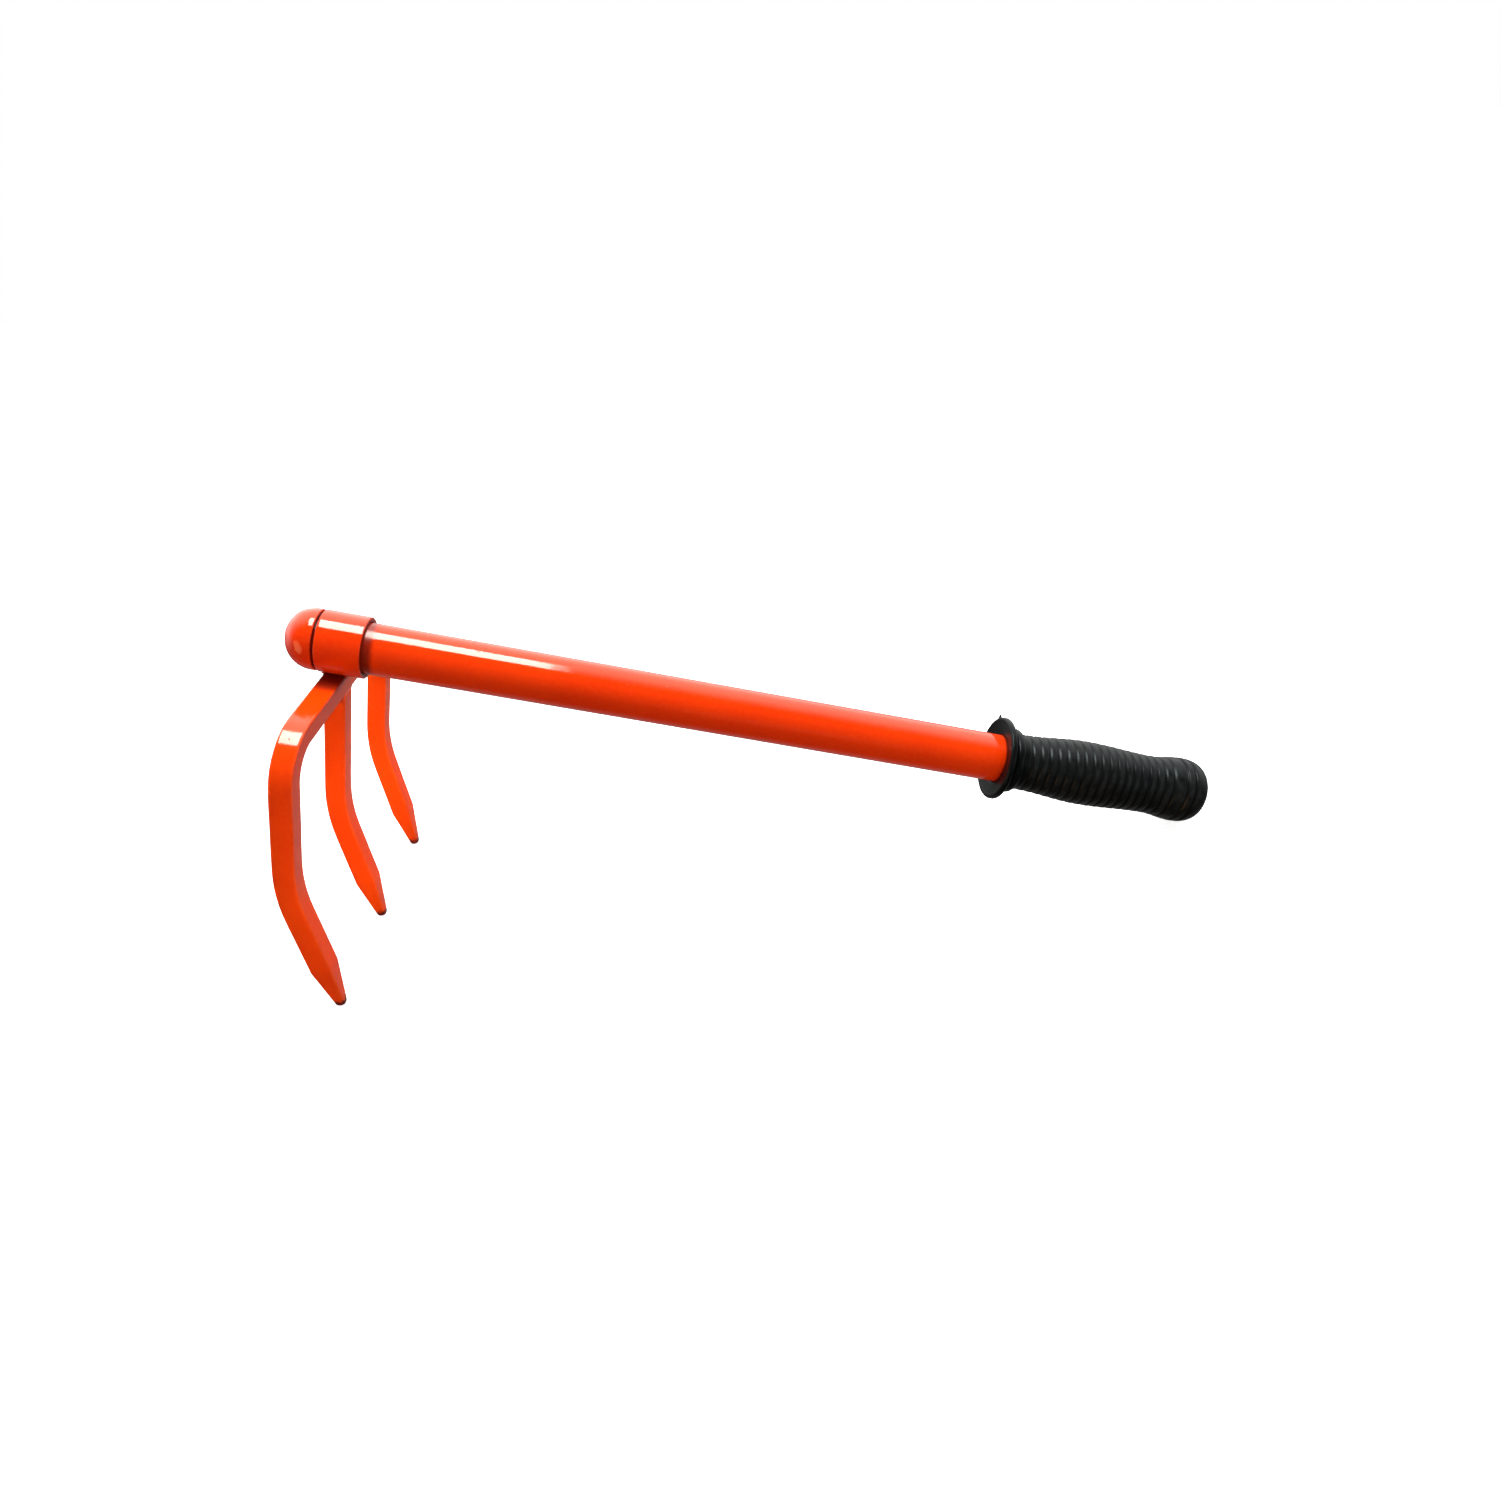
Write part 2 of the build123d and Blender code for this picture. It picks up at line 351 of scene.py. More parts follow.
def make_cap():
    """Domed cap: a short skirt and a full nose, pressed slightly out of true."""
    shoulder = CAP_REAR - CAP_SKIRT
    rim = CAP_RIM
    bore = TUBE_RADIUS + FIT
    depth = shoulder - CAP_NOSE
    profile = [(CAP_NOSE, 0.0)]
    for step in range(1, DOME_STEPS + 1):
        angle = math.pi / 2 * step / DOME_STEPS
        reach = CAP_RADIUS * math.sin(angle) ** (2 / DOME_POWER)
        back = depth * math.cos(angle) ** (2 / DOME_POWER)
        profile.append((shoulder - back, reach))
    profile += straight((shoulder, CAP_RADIUS), (CAP_REAR - rim, CAP_RADIUS), 6)
    profile += arc((CAP_REAR - rim, CAP_RADIUS - rim), rim, 90, 0, 5)[1:]
    profile += [(CAP_REAR, bore + CAP_LEAD), (CAP_REAR - CAP_LEAD, bore)]
    profile += straight(profile[-1], (CAP_REAR - CAP_BORE, bore), 4)
    profile += [(CAP_REAR - CAP_BORE, 0.0)]

    def pressed(place, radius, angle):
        """Shallow flats left on the dome where it was pressed."""
        share = ease((shoulder - place) / depth * DENT_RISE) * ease(radius / CAP_RADIUS * 2)
        around = (math.cos(angle) * DENT_TURNS, math.sin(angle) * DENT_TURNS)
        dent = noise.noise(Vector((place * DENT_SCALE, *around)))
        return radius * (1 + DOME_DENT * share * min(0.0, dent))

    points, faces = lathe(profile, pressed)
    # Painted shade on the cap's rear end near its bore, beside the gap to the collar.
    painted_shade = [
        ease(1 - (math.hypot(y, z) - bore) / RIM_SHADE) if x > CAP_REAR - rim / 2 else 0.0
        for x, y, z in points
    ]
    return make_piece("cap", points, faces, {"painted_shade": painted_shade})


# ---------------------------------------------------------------------------------------------
# Square bar, bent and drawn to a point
# ---------------------------------------------------------------------------------------------
def bar_section(half, corner):
    """Points around a square with rounded corners, each with how far it is onto a corner."""
    flat = half - corner
    ring = []
    for quarter in range(4):
        turn = quarter * math.pi / 2
        cosine, sine = math.cos(turn), math.sin(turn)
        for share in FLAT_SHARES:
            a, b = half, flat * share
            ring.append((a * cosine - b * sine, a * sine + b * cosine, 0.0))
        for step in range(CORNER_STEPS + 1):
            angle = math.pi / 2 * step / CORNER_STEPS
            a = flat + corner * math.cos(angle)
            b = flat + corner * math.sin(angle)
            onto = math.sin(2 * angle) * (1 - CORNER_EDGE) + CORNER_EDGE
            ring.append((a * cosine - b * sine, a * sine + b * cosine, onto))
    return ring


def bent_path(points, radii):
    """Stations along a polyline with rounded corners: (position, tangent, bend), a few mm apart.

    bend is the vector towards the bend's centre, of the length of its curvature.
    """
    points = [Vector(point) for point in points]
    stations = []
    cursor = points[0]
    for index, radius in enumerate(radii, start=1):
        before = (points[index] - points[index - 1]).normalized()
        after = (points[index + 1] - points[index]).normalized()
        turn = before.angle(after)
        reach = radius * math.tan(turn / 2)
        start = points[index] - before * reach
        inward = (after - before).normalized()
        centre = points[index] + inward * (radius / math.cos(turn / 2))
        stations += run(cursor, start)
        axis = before.cross(after).normalized()
        steps = max(4, math.ceil(math.degrees(turn) / 3))
        for step in range(steps + 1):
            spin = Matrix.Rotation(turn * step / steps, 3, axis)
            position = centre + spin @ (start - centre)
            stations.append((position, spin @ before, (centre - position).normalized() / radius))
        cursor = points[index] + after * reach
    stations += run(cursor, points[-1])
    return stations


def run(start, end):
    """Stations along a straight run, leaving out its two ends."""
    steps = max(2, round((end - start).length / RUN_STEP))
    tangent = (end - start).normalized()
    return [(start.lerp(end, step / steps), tangent, Vector()) for step in range(1, steps)]


def draw_bar(stations, side, lengths, sizes):
    """Points, faces and attributes of square bar along stations.

    side is one of the section's directions at the first station, lengths the distance of each
    station from the nearest tip, and sizes the half width and corner radius at each.
    """
    points, faces, edge, wear, painted_shade = [], [], [], [], []
    tangent = stations[0][1]
    side = Vector(side)
    rings = []
    for (position, heading, bend), length, (half, corner) in zip(stations, lengths, sizes):
        axis = tangent.cross(heading)
        if axis.length > 1e-9:
            side = Matrix.Rotation(tangent.angle(heading), 3, axis.normalized()) @ side
        tangent = heading
        third = tangent.cross(side)
        ring = []
        for a, b, onto in bar_section(half, corner):
            offset = side * a + third * b
            inward = offset.dot(bend)
            across = bend.cross(tangent)
            if across.length > 0:
                across.normalize()
                thinned = inward - half * bend.length
                offset += across * offset.dot(across) * BEND_SPREAD * thinned
            point = position + offset
            lump = (noise.noise(point * BAR_LUMPS) - 1) * BAR_LUMP_HEIGHT / 2
            ring.append(len(points))
            points.append(point + offset.normalized() * lump)
            edge.append(onto)
            wear.append(ease(1 - length / WORN_LENGTH))
            # Painted shade on the crossbar's upper face next to the collar, where the collar's
            # shadow falls.
            root = math.hypot(point.x, point.y) if point.z > CROSSBAR_CENTRE - BAR else SPREAD
            upper = ease((point.z - CROSSBAR_CENTRE) / BAR / UPPER_FADE - UPPER_START)
            painted_shade.append(upper * ease((ROOT_REACH - root) / ROOT_FADE))
        rings.append(ring)
    count = len(rings[0])
    for first, second in zip(rings, rings[1:]):
        for index in range(count):
            after = (index + 1) % count
            faces.append((first[index], first[after], second[after], second[index]))
    for ring, station, turned in ((rings[0], stations[0], True), (rings[-1], stations[-1], False)):
        middle = len(points)
        points.append(station[0])
        edge.append(0.0)
        wear.append(wear[ring[0]])
        painted_shade.append(0.0)
        for index in range(count):
            pair = (ring[index], ring[(index + 1) % count])
            faces.append((*reversed(pair), middle) if turned else (*pair, middle))
    return points, faces, {"edge": edge, "wear": wear, "painted_shade": painted_shade}


def tip_sizes(length):
    """Half width and corner radius of a tine at a distance from its tip."""
    share = min(1.0, length / TAPER_LENGTH)
    half = TIP_SIZE / 2 + (BAR - TIP_SIZE) / 2 * share
    corner = TIP_CORNER + (BAR_ROUND - TIP_CORNER) * share
    if length < TIP_ROUND:
        half -= TIP_ROUND - math.sqrt(TIP_ROUND**2 - (TIP_ROUND - length) ** 2)
    return half, min(corner, half * CORNER_LIMIT)


def tip_stations(tip, up):
    """Stations from a tine's tip to just past the start of its taper."""
    places = [TIP_ROUND * (1 - math.cos(math.pi / 2 * step / 6)) for step in range(7)]
    places += [TIP_ROUND + (TAPER_LENGTH - TIP_ROUND) * step / 14 for step in range(1, 14)]
    places += [TAPER_LENGTH - TAPER_BLEND, TAPER_LENGTH, TAPER_LENGTH + TAPER_BLEND]
    return [(tip + up * place, up, Vector()) for place in places]


def point_run(side):
    """A tine's lower run: its tip, its kink, and the direction from the tip up to the kink."""
    kink = Vector((0, side, KINK_HEIGHT))
    tip = kink + Vector((math.sin(KINK_ANGLE), 0, -math.cos(KINK_ANGLE))) * POINT_LENGTH
    return tip, kink, (kink - tip).normalized()


def make_outer_tines():
    """Both outer tines and the crossbar between them, as one bent bar."""
    tip, kink, up = point_run(-SPREAD)
    start = tip + up * (TAPER_LENGTH + TAPER_BLEND)
    arm_end = CROSSBAR_CENTRE - SPREAD * math.sin(ARM_DROOP)
    half = [start, kink, Vector((0, -SPREAD, arm_end))]
    mirrored = [Vector((p.x, -p.y, p.z)) for p in reversed(half)]
    radii = [KINK_RADIUS, CORNER_RADIUS, CENTRE_RADIUS, CORNER_RADIUS, KINK_RADIUS]
    middle = bent_path([*half, Vector((0, 0, CROSSBAR_CENTRE)), *mirrored], radii)
    near = tip_stations(tip, up)
    far = [
        (Vector((p.x, -p.y, p.z)), Vector((-t.x, 0, -t.z)), bend) for p, t, bend in reversed(near)
    ]
    stations = near + middle + far
    far_tip = far[-1][0]
    lengths = [min((s[0] - tip).length, (s[0] - far_tip).length) for s in stations]
    sizes = [tip_sizes(length) for length in lengths]
    return make_piece("outer_bar", *draw_bar(stations, (0, 1, 0), lengths, sizes))


def make_middle_tine():
    """The middle tine, its top sunk a little into the crossbar's underside."""
    tip, kink, up = point_run(0)
    start = tip + up * (TAPER_LENGTH + TAPER_BLEND)
    top = Vector((0, 0, CROSSBAR_CENTRE - BAR / 2 + TINE_OVERLAP))
    stations = tip_stations(tip, up) + bent_path([start, kink, top], [KINK_RADIUS])
    stations.append((top, Vector((0, 0, 1)), Vector()))
    lengths = [(s[0] - tip).length for s in stations]
    sizes = [tip_sizes(length) for length in lengths]
    return make_piece("middle_bar", *draw_bar(stations, (0, 1, 0), lengths, sizes))


# ---------------------------------------------------------------------------------------------
# Weld beads
# ---------------------------------------------------------------------------------------------
def bead(start, end, face_a, face_b, leg, bulge):
    """A rippled weld bead in the corner between two faces.

    face_a and face_b point from the corner along the two faces; bulge is how far the bead's
    middle stands out, as a share of its leg, and is negative for a hollow one.
    """
    start, end = Vector(start), Vector(end)
    face_a, face_b = Vector(face_a), Vector(face_b)
    run_length = (end - start).length
    steps = max(12, round(run_length / BEAD_STEP))
    points, faces = [], []
    rings = []
    for step in range(steps + 1):
        share = step / steps
        place = run_length * share
        end_ease = math.sqrt(max(0.0, 1 - abs(2 * share - 1) ** 6))
        phase = place / BEAD_PITCH
        ripple = (phase - math.floor(phase)) * BEAD_RIPPLE
        lump = noise.noise(Vector((place * BEAD_LUMPS, leg * BEAD_LEG_LUMPS, 3)))
        reach = leg * (BEAD_END + (1 - BEAD_END) * end_ease) * (1 + BEAD_UNEVEN * lump)
        ring = []
        for index in range(BEAD_POINTS + 1):
            t = index / BEAD_POINTS
            lift = (bulge + ripple) * 4 * t * (1 - t) * end_ease
            lag = BEAD_LAG * 4 * t * (1 - t)
            a = (1 - t) * reach + lift * reach * BEAD_LIFT
            b = t * reach + lift * reach * BEAD_LIFT
            along = (end - start).normalized() * min(place + lag, run_length)
            ring.append(len(points))
            points.append(start + along + face_a * a + face_b * b)
        ring.append(len(points))
        points.append(start + (end - start) * share - (face_a + face_b) * BEAD_ROOT)
        rings.append(ring)
    count = len(rings[0])
    for first, second in zip(rings, rings[1:]):
        for index in range(count):
            after = (index + 1) % count
            faces.append((first[index], first[after], second[after], second[index]))
    faces.append(tuple(reversed(rings[0])))
    faces.append(tuple(rings[-1]))
    if (end - start).dot(face_a.cross(face_b)) < 0:
        faces = [tuple(reversed(face)) for face in faces]
    return points, faces


def join(parts):
    """One list of points and one of faces from several."""
    points, faces = [], []
    for more_points, more_faces in parts:
        shift = len(points)
        points += more_points
        faces += [tuple(index + shift for index in face) for face in more_faces]
    return points, faces


def make_collar_weld():
    """Beads each side of the crossbar, against the collar's underside."""
    parts = []
    for side in (-1, 1):
        corner_x = side * BAR / 2
        top = CROSSBAR_CENTRE + BAR / 2
        start = (corner_x, -BEAD_RUN / 2, top - BEAD_SINK)
        end = (corner_x, BEAD_RUN / 2, top - BEAD_SINK)
        parts.append(bead(start, end, (side, 0, 0), (0, 0, -1), BEAD_LEG, BEAD_BULGE))
    points, faces = join(parts)
    return make_piece("collar_beads", points, faces, {"painted_shade": [BEAD_SHADE] * len(points)})


def make_tine_weld():
    """Hollow fillets each side of the middle tine, against the crossbar's underside."""
    parts = []
    under = CROSSBAR_CENTRE - BAR / 2
    for side in (-1, 1):
        start = (-FILLET_WIDTH / 2, side * BAR / 2, under)
        end = (FILLET_WIDTH / 2, side * BAR / 2, under)
        parts.append(bead(start, end, (0, side, 0), (0, 0, -1), FILLET_LEG, FILLET_BULGE))
    points, faces = join(parts)
    return make_piece("tine_fillets", points, faces, {"painted_shade": [FILLET_SHADE] * len(points)})


# ---------------------------------------------------------------------------------------------
# Grip
# ---------------------------------------------------------------------------------------------
def grip_radius(place):
    """Radius of the grip's body before it is ribbed, at a distance from the guard's face."""
    knots = (
        (0, NECK_RADIUS),
        (NECK_LENGTH, NECK_RADIUS),
        (SWELL_PLACE, SWELL_RADIUS),
        (WAIST_PLACE, WAIST_RADIUS),
        (BULB_PLACE, BULB_RADIUS),
    )
    for (start, first), (end, last) in zip(knots, knots[1:]):
        if place <= end:
            share = (place - start) / (end - start)
            return first + (last - first) * (1 - math.cos(math.pi * share)) / 2
    share = (place - BULB_PLACE) / (GRIP_LENGTH - BULB_PLACE)
    reach = max(0.0, 1 - share**BUTT_POWER) ** (1 / BUTT_POWER)
    return BUTT_FLAT_RADIUS + (BULB_RADIUS - BUTT_FLAT_RADIUS) * reach


def dip(distance, width):
    """Depth share of a rounded valley at a distance from its middle."""
    return 0.5 + 0.5 * math.cos(math.pi * min(1.0, abs(distance) / width))


def ribbing(place):
    """How deep the grip's surface lies below its body's radius, as (depth, share of a valley)."""
    depth, share = 0.0, 0.0
    for index in range(RIB_COUNT + 1):
        valley = FIRST_RIB + (index - 0.5) * RIB_PITCH
        if valley > NECK_LENGTH:
            fall = dip(place - valley, RIB_VALLEY)
            depth = max(depth, RIB_DEPTH * fall)
            share = max(share, fall)
    for groove in BUTT_GROOVES:
        fall = dip(place - groove, BUTT_VALLEY)
        depth = max(depth, BUTT_GROOVE_DEPTH * fall)
        share = max(share, fall)
    return depth, share


def grip_profile():
    """(place, radius) pairs round the grip's section, from the bore's end to the butt."""
    bore = TUBE_RADIUS + FIT
    lead = GRIP_LEAD
    bore_end = GRIP_LENGTH - GRIP_END_WALL
    profile = [(bore_end, 0.0), (bore_end, bore)]
    profile += straight((bore_end, bore), (DISH_DEPTH + lead, bore), 10)
    profile += [(DISH_DEPTH, bore + lead)]
    profile += straight(profile[-1], (0.0001, DISH_RADIUS - 0.0002), 6)
    profile += [(0.0, DISH_RADIUS)]
    profile += arc((GUARD_ROUND, GUARD_RADIUS - GUARD_ROUND), GUARD_ROUND, 180, 90, 7)
    rear = GUARD_THICKNESS - GUARD_ROUND
    profile += arc((rear, GUARD_RADIUS - GUARD_ROUND), GUARD_ROUND, 90, 0, 7)
    foot = GUARD_FOOT
    profile += straight(profile[-1], (GUARD_THICKNESS, NECK_RADIUS + foot), 3)
    hollow = arc((GUARD_THICKNESS + foot, NECK_RADIUS + foot), foot, 180, 270, 4)
    profile += hollow[1:]
    place = GUARD_THICKNESS + foot
    while place < BULB_PLACE:
        place += GRIP_STEP
        radius = grip_radius(place) - ribbing(place)[0]
        ring = abs(place - RING_PLACE) / RING_HALF_WIDTH
        if ring < 1:
            crown = math.sqrt(1 - ring**RING_POWER)
            radius = max(radius, NECK_RADIUS + (RING_RADIUS - NECK_RADIUS) * crown)
        profile.append((place, radius))
    for step in range(1, BUTT_STEPS + 1):
        angle = math.pi / 2 * step / BUTT_STEPS
        share = math.sin(angle) ** (2 / BUTT_POWER)
        place = BULB_PLACE + (GRIP_LENGTH - BULB_PLACE) * share
        if place > profile[-1][0] + 1e-6 or step == BUTT_STEPS:
            profile.append((place, grip_radius(place) - ribbing(place)[0]))
    profile += straight(profile[-1], (GRIP_LENGTH, SPRUE_RADIUS), 4)
    profile += [(GRIP_LENGTH - SPRUE_DEPTH, SPRUE_FLOOR), (GRIP_LENGTH - SPRUE_DEPTH, 0.0)]
    return profile


def mould_pip():
    """The small blunt spike that the mould leaves on the guard's rim."""
    outwards = Vector((0, math.cos(NUB_ANGLE), math.sin(NUB_ANGLE)))
    side = outwards.cross(Vector((1, 0, 0)))
    foot = outwards * (GUARD_RADIUS - NUB_ROOT) + Vector((GRIP_FRONT + GUARD_THICKNESS / 2, 0, 0))
    height = NUB_HEIGHT + NUB_ROOT
    levels = [(0.0, NUB_BASE), (0.25, 0.0009), (0.5, 0.00066), (0.75, 0.00047), (0.93, NUB_END)]
    points, faces = [foot], []
    for share, radius in [*levels, (0.99, NUB_END * 0.6)]:
        for step in range(NUB_ROUND_STEPS):
            angle = 2 * math.pi * step / NUB_ROUND_STEPS
            around = Vector((1, 0, 0)) * math.cos(angle) + side * math.sin(angle)
            points.append(foot + outwards * height * share + around * radius)
    points.append(foot + outwards * height)
    count = NUB_ROUND_STEPS
    for step in range(count):
        after = (step + 1) % count
        faces.append((0, 1 + after, 1 + step))
        for level in range(len(levels)):
            low, high = 1 + level * count, 1 + (level + 1) * count
            faces.append((low + step, low + after, high + after, high + step))
        top = 1 + len(levels) * count
        faces.append((top + step, top + after, len(points) - 1))
    return [tuple(point) for point in points], faces


def make_grip():
    """The moulded grip: guard, ring, ribbed hand-hold and butt, with its mould's pip."""
    profile = [(GRIP_FRONT + place, radius) for place, radius in grip_profile()]
    points, faces = join([lathe(profile, None, GRIP_ROUND_STEPS), mould_pip()])
    valley, ridge = [], []
    for x, y, z in points:
        place = x - GRIP_FRONT
        inside = math.hypot(y, z) < TUBE_RADIUS + BORE_MARGIN
        share = 0.0 if inside else ribbing(place)[1]
        valley.append(share)
        smooth_part = inside or place < NECK_LENGTH
        ridge.append(0.0 if smooth_part else ease((RIDGE_SHARE - share) / RIDGE_SHARE))
    return make_piece("grip_moulding", points, faces, {"valley": valley, "ridge": ridge})


# ---------------------------------------------------------------------------------------------
# Materials
# ---------------------------------------------------------------------------------------------
ORANGE = (0.74, 0.036, 0.0008)
ORANGE_DEEP = (0.69, 0.028, 0.0005)
ORANGE_PALE = (0.82, 0.072, 0.008)
TINE_ORANGE = (0.80, 0.051, 0.0008)
TINE_DEEP = (0.74, 0.040, 0.0005)
# Colour of the painted shade laid in joints, gaps and under the collar.
CREVICE_SHADE_COLOUR = (0.16, 0.006, 0.001)
WORN = (0.130, 0.010, 0.004)
BLACK = (0.0032, 0.0032, 0.0032)
BLACK_COOL = (0.0024, 0.0036, 0.0038)
# Rib-top grey: partly scuffing, partly a painted highlight on the crests.
SCUFF_AND_CREST_HIGHLIGHT = (0.0115, 0.0125, 0.0125)
DUST = (0.006, 0.0058, 0.0055)
FLOOR_PALE = (0.70, 0.70, 0.70)
FLOOR_WARM = (0.66, 0.66, 0.655)
FLOOR_GLOW = 0.88

# Noise scales of the enamel and of the PVC, in waves to the metre, then heights in metres.
PATCHES = 26.0
SPECKLES = 620.0
THIN_SPOTS = 140.0
RAGGEDNESS = 900.0
HAZE = 60.0
WAVES = 85.0
PEEL = 720.0
PIMPLES = 210.0
CLOUDS = 45.0
SCUFFS = 240.0
DUST_PATCHES = 120.0
SHEEN_PATCHES = 150.0
FLOW_MARKS = 130.0
GRAIN = 1500.0
PEEL_HEIGHT = 0.000012
PIMPLE_HEIGHT = 0.00006
FLOW_HEIGHT = 0.00006
GRAIN_HEIGHT = 0.000014
SPECKLE_STRENGTH = 0.18
CREVICE_SHADE_STRENGTH = 0.92
CREVICE_ROUGHNESS = 0.2
WORN_ROUGHNESS = 0.15
SCUFF_ROUGHNESS = 0.12


class Nodes:
    """Short hand for building a material's node tree."""

    def __init__(self, name):
        self.material = bpy.data.materials.new(name)
        self.material.use_nodes = True
        self.tree = self.material.node_tree
        self.shader = self.tree.nodes["Principled BSDF"]
        self.coordinates = self.tree.nodes.new("ShaderNodeTexCoord").outputs["Object"]

    def link(self, source, target):
        """Join an output to an input."""
        self.tree.links.new(source, target)

    def noise(self, scale, detail=2.0, rough=0.5):
        """Noise of a given scale, in waves to the metre."""
        node = self.tree.nodes.new("ShaderNodeTexNoise")
        node.inputs["Scale"].default_value = scale
        node.inputs["Detail"].default_value = detail
        node.inputs["Roughness"].default_value = rough
        self.link(self.coordinates, node.inputs["Vector"])
        return node.outputs["Fac"]

    def cells(self, scale):
        """Distance to the nearest of some scattered points."""
        node = self.tree.nodes.new("ShaderNodeTexVoronoi")
        node.inputs["Scale"].default_value = scale
        self.link(self.coordinates, node.inputs["Vector"])
        return node.outputs["Distance"]

    def attribute(self, name):
        """One of the mesh's point attributes, or 0 where it has none of that name."""
        node = self.tree.nodes.new("ShaderNodeAttribute")
        node.attribute_name = name
        return node.outputs["Fac"]

    def range(self, source, low, high, to_low=0.0, to_high=1.0):
        """source taken from low..high to to_low..to_high, and held there outside it."""
        node = self.tree.nodes.new("ShaderNodeMapRange")
        self.link(source, node.inputs["Value"])
        node.inputs["From Min"].default_value = low
        node.inputs["From Max"].default_value = high
        node.inputs["To Min"].default_value = to_low
        node.inputs["To Max"].default_value = to_high
        return node.outputs["Result"]

    def math(self, operation, first, second):
        """The result of a sum on two sockets or numbers."""
        node = self.tree.nodes.new("ShaderNodeMath")
        node.operation = operation
        for socket, value in zip(node.inputs, (first, second)):
            if isinstance(value, (int, float)):
                socket.default_value = value
            else:
                self.link(value, socket)
        return node.outputs[0]

    def mix(self, share, first, second):
        """Colour first, turning into second with share."""
        node = self.tree.nodes.new("ShaderNodeMix")
        node.data_type = "RGBA"
        sockets = (node.inputs[0], node.inputs[6], node.inputs[7])
        for socket, value in zip(sockets, (share, first, second)):
            if isinstance(value, (int, float)):
                socket.default_value = value
            elif isinstance(value, tuple):
                socket.default_value = (*value, 1.0)
            else:
                self.link(value, socket)
        return node.outputs[2]

    def bump(self, height, distance, under=None):
        """Normals of a height, in metres at full height, laid over other normals."""
        node = self.tree.nodes.new("ShaderNodeBump")
        node.inputs["Distance"].default_value = distance
        self.link(height, node.inputs["Height"])
        if under:
            self.link(under, node.inputs["Normal"])
        return node.outputs["Normal"]


def paint(name, tones, gloss=0.075, wave=0.00005):
    """Glossy orange enamel on steel, thin on edges, with painted shade in corners and joints, worn
    off at the tips.
    """
    nodes = Nodes(name)
    patches = nodes.range(nodes.noise(PATCHES, 3.0), 0.32, 0.68)
    speckle = nodes.range(nodes.noise(SPECKLES, 2.0), 0.35, 0.75)
    colour = nodes.mix(patches, *tones)
    colour = nodes.mix(nodes.math("MULTIPLY", speckle, SPECKLE_STRENGTH), colour, ORANGE_PALE)
    thin = nodes.range(nodes.noise(THIN_SPOTS), 0.3, 0.7, 0.15, 0.6)
    edge = nodes.math("MULTIPLY", nodes.attribute("edge"), thin)
    colour = nodes.mix(edge, colour, ORANGE_PALE)
    # Painted shade: the colour turns dark red by each point's shade share, in joints, gaps and the
    # collar's shadow.
    crevice_shade = nodes.math("MULTIPLY", nodes.attribute("painted_shade"), CREVICE_SHADE_STRENGTH)
    colour = nodes.mix(crevice_shade, colour, CREVICE_SHADE_COLOUR)
    ragged = nodes.range(nodes.noise(RAGGEDNESS, 3.0), 0.3, 0.7, -0.35, 0.25)
    worn = nodes.range(nodes.math("ADD", nodes.attribute("wear"), ragged), 0.30, 0.62)
    colour = nodes.mix(worn, colour, WORN)
    nodes.link(colour, nodes.shader.inputs["Base Color"])
    rough = nodes.range(nodes.noise(HAZE, 4.0), 0.3, 0.75, gloss * 0.75, gloss * 1.5)
    rough = nodes.math("ADD", rough, nodes.math("MULTIPLY", worn, WORN_ROUGHNESS))
    dull = nodes.math("MULTIPLY", nodes.attribute("painted_shade"), CREVICE_ROUGHNESS)
    rough = nodes.math("ADD", rough, dull)
    nodes.link(rough, nodes.shader.inputs["Roughness"])
    normal = nodes.bump(nodes.noise(WAVES, 1.0), wave)
    normal = nodes.bump(nodes.noise(PEEL, 1.5), PEEL_HEIGHT, normal)
    pimples = nodes.range(nodes.cells(PIMPLES), 0.0, 0.11, 1.0, 0.0)
    normal = nodes.bump(pimples, PIMPLE_HEIGHT, normal)
    nodes.link(normal, nodes.shader.inputs["Normal"])
    nodes.shader.inputs["IOR"].default_value = 1.5
    nodes.shader.inputs["Specular Tint"].default_value = (1.0, 0.95, 0.85, 1.0)
    return nodes.material


